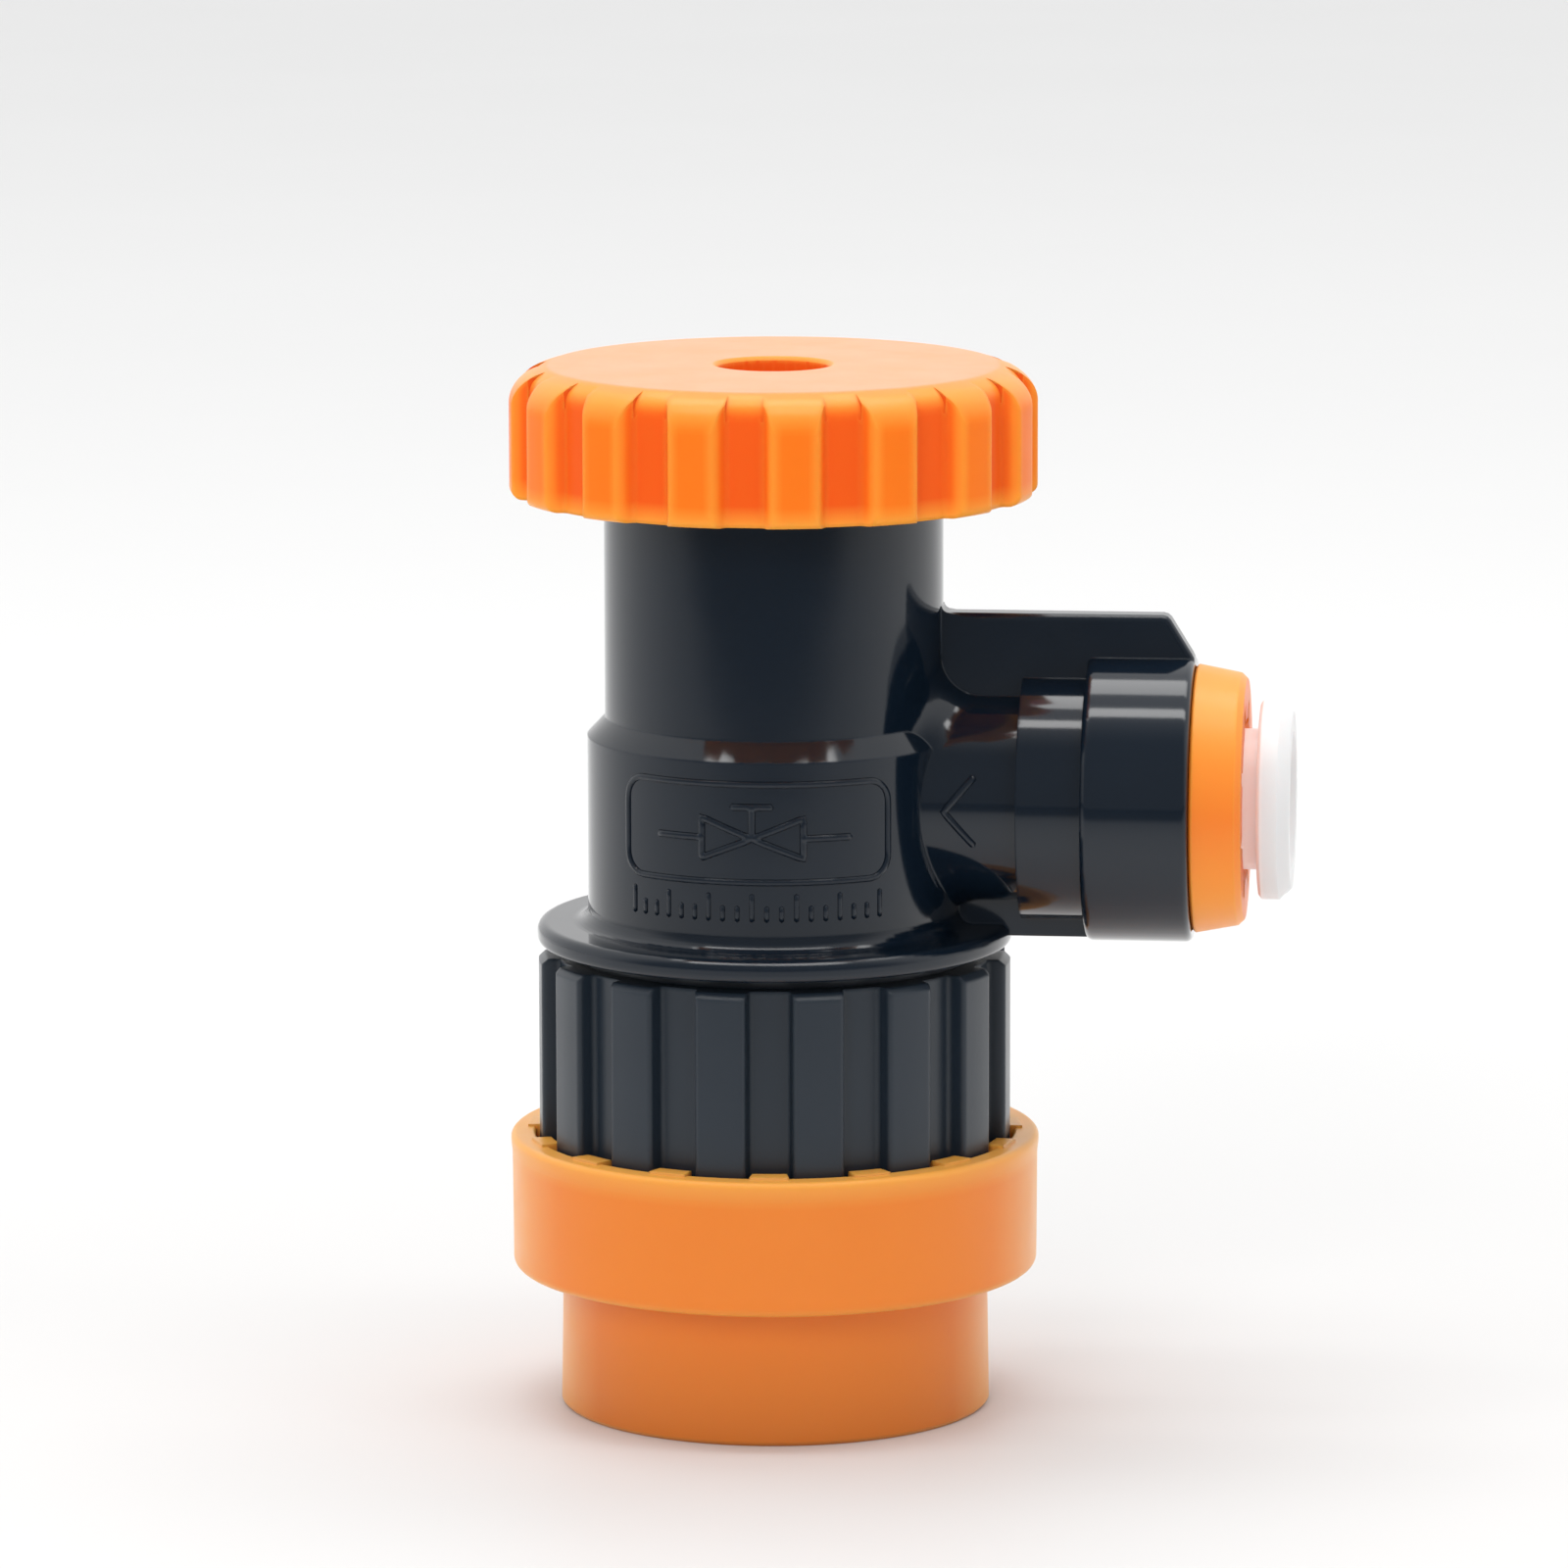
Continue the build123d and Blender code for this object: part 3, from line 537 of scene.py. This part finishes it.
# ------------------------------------------------------------------ springs
def add_coil(name, radius, wire, top, length, turns, node):
    """A coil of wire radius wire, in mm, that runs down length from its top."""
    verts, faces = [], []
    steps, around = int(turns * 48), 12
    height = length - 2 * wire
    climb = height / (turns * 2 * math.pi)
    for i in range(steps + 1):
        turn = 2 * math.pi * turns * i / steps
        out = Vector((math.cos(turn), math.sin(turn), 0))
        center = out * radius + Vector((0, 0, top - length + wire + height * i / steps))
        along = Vector((-radius * out.y, radius * out.x, climb)).normalized()
        up = along.cross(out).normalized()
        for k in range(around):
            angle = 2 * math.pi * k / around
            verts.append((center + out * (wire * math.cos(angle))
                          + up * (wire * math.sin(angle))) * MM)
    for i in range(steps):
        near, far = i * around, (i + 1) * around
        for k in range(around):
            j = (k + 1) % around
            faces.append((near + k, near + j, far + j, far + k))
    faces.append(tuple(range(around))[::-1])
    faces.append(tuple(range(steps * around, (steps + 1) * around)))
    coil = add_body_part(name, verts, faces, "spring_steel")
    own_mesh(coil)
    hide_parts(node)


add_coil("collar_return_coil", radius=12.55, wire=0.35, top=21.98, length=11.06, turns=5,
         node="collar_spring")
add_coil("poppet_return_coil", radius=3.45, wire=0.30, top=30.98, length=6.26, turns=4.5,
         node="poppet_spring")

# ------------------------------------------------------------------ floor
FLOOR_HALF = 6
# painted light: the floor's grey is darker near the valve and in front, lighter further back,
# standing in for how the light falls on it; (position along +Y, grey)
FLOOR_PAINTED_FALLOFF = [(0.075, 0.672), (0.12, 0.69), (0.20, 0.72), (0.29, 0.76), (0.38, 0.785),
               (0.49, 0.805), (0.68, 0.838), (0.76, 0.840), (1.0, 0.832)]
MIRRORED_TONES = [(0.0, 0.10), (0.09, 0.13), (0.17, 0.30), (0.24, 0.48), (0.42, 0.66),
                  (0.60, 0.80), (0.80, 0.92)]


def greys(stops):
    return [(position, (grey,) * 3) for position, grey in stops]


def floor_white():
    mat = Material("floor_white")
    y = mat.axes["Y"]
    # painted light: the floor's grey is graded along Y, darker in front and near the valve
    warm_front = [(0.0, (0.704, 0.702, 0.700)), (0.04, (0.700, 0.698, 0.697))]
    tone = mat.ramp(mat.remap(y, span=(-0.05, 0.95)), warm_front + greys(FLOOR_PAINTED_FALLOFF))
    pale = mat.tint(tone, (1.0, 1.0, 1.0), mat.noise(scale=6, detail=3), share=0.02)
    # painted reflection: seen in the glossy body, the floor darkens in front of the valve as if the
    # sweep ended a hand's width in front of it
    mirrored = mat.ramp(mat.remap(y, span=(-0.36, 0.24)), greys(MIRRORED_TONES))
    glossy = mat.node("LightPath").outputs["Is Glossy Ray"]
    mat.shade(Base_Color=mat.mix(glossy, pale, mirrored),
              Roughness=mat.uneven(mat.noise(scale=20, detail=3), 0.50, 0.60),
              Specular_IOR_Level=0.20)
    return mat.material


floor = add_mesh("floor", [(x * FLOOR_HALF, y * FLOOR_HALF, 0)
                           for x, y in ((-1, -1), (1, -1), (1, 1), (-1, 1))], [(0, 1, 2, 3)])
floor.data.materials.append(floor_white())

# ------------------------------------------------------------------ world
FRONT_MIRRORED = 0.26   # brightness of the room on the -Y side, as reflections show it
FRONT_AS_LIGHT = 0.66   # the same side as diffuse light, lifted by the pale walls round it


def build_world():
    world = bpy.data.worlds.new("studio")
    scene.world = world
    graph = Graph(world)
    direction = graph.node("TexCoord").outputs["Generated"]
    y = graph.node("SeparateXYZ", Vector=direction).outputs["Y"]
    mirrored = graph.remap(y, span=(-0.62, 0.0), to=(FRONT_MIRRORED, 1.0), smooth=True)
    lifted = graph.remap(mirrored, span=(FRONT_MIRRORED, 1.0), to=(FRONT_AS_LIGHT, 1.0))
    diffuse = graph.node("LightPath").outputs["Is Diffuse Ray"]
    grey = graph.node("Mix", Factor=diffuse, A=mirrored, B=lifted).outputs["Result"]
    color = graph.node("CombineColor", Red=grey, Green=grey, Blue=grey).outputs["Color"]
    graph.feed(graph.find("BACKGROUND"), Color=color, Strength=1.05)


build_world()


# ------------------------------------------------------------------ lights, in metres and watts
def add_area(name, place, aim, size, power, color=(1, 1, 1)):
    light = bpy.data.lights.new(name, "AREA")
    light.energy = power
    light.color = color
    light.shape = "RECTANGLE"
    light.size, light.size_y = size
    obj = bpy.data.objects.new(name, light)
    scene.collection.objects.link(obj)
    obj.location = place
    obj.rotation_mode = "QUATERNION"
    obj.rotation_quaternion = (Vector(aim) - Vector(place)).to_track_quat("-Z", "Y")
    return obj


STRIP_COLOR = (1.0, 0.995, 0.985)
add_area("top_strip_front", place=(0.0, -0.085, 0.55), aim=(0, -0.02, 0.03),
         size=(0.46, 0.075), power=0.70, color=STRIP_COLOR)
add_area("top_strip_back", place=(0.0, 0.170, 0.55), aim=(0, 0.02, 0.03),
         size=(0.46, 0.17), power=0.98, color=STRIP_COLOR)
fill = add_area("front_fill", place=(-0.15, -0.75, 0.42), aim=(0, 0, 0.04),
                size=(0.30, 0.30), power=1.6)
fill.visible_glossy = False      # lifts the front without a streak on the gloss

# ------------------------------------------------------------------ camera
DISTANCE = 0.6275
ELEVATION = math.radians(9.76)
AZIMUTH = math.radians(5.8)      # from -Y towards +X
ROLL = math.radians(0.115)
TARGET_Z = 0.04189
TARGET_SHIFT = 0.000653          # to the camera's right

lens = bpy.data.cameras.new("camera")
lens.lens = 216.0
lens.sensor_width = 36.0
lens.sensor_fit = "HORIZONTAL"
lens.clip_start, lens.clip_end = 0.01, 50
camera = bpy.data.objects.new("camera", lens)
scene.collection.objects.link(camera)
right = Vector((math.cos(AZIMUTH), math.sin(AZIMUTH), 0))
back = Vector((math.sin(AZIMUTH) * math.cos(ELEVATION),
               -math.cos(AZIMUTH) * math.cos(ELEVATION), math.sin(ELEVATION)))
camera.location = Vector((0, 0, TARGET_Z)) + right * TARGET_SHIFT + back * DISTANCE
camera.rotation_mode = "QUATERNION"
level_view = (-back).to_track_quat("-Z", "Y")
camera.rotation_quaternion = level_view @ Matrix.Rotation(-ROLL, 3, "Z").to_quaternion()
scene.camera = camera
scene.view_settings.view_transform = "Standard"
scene.view_settings.look = "None"
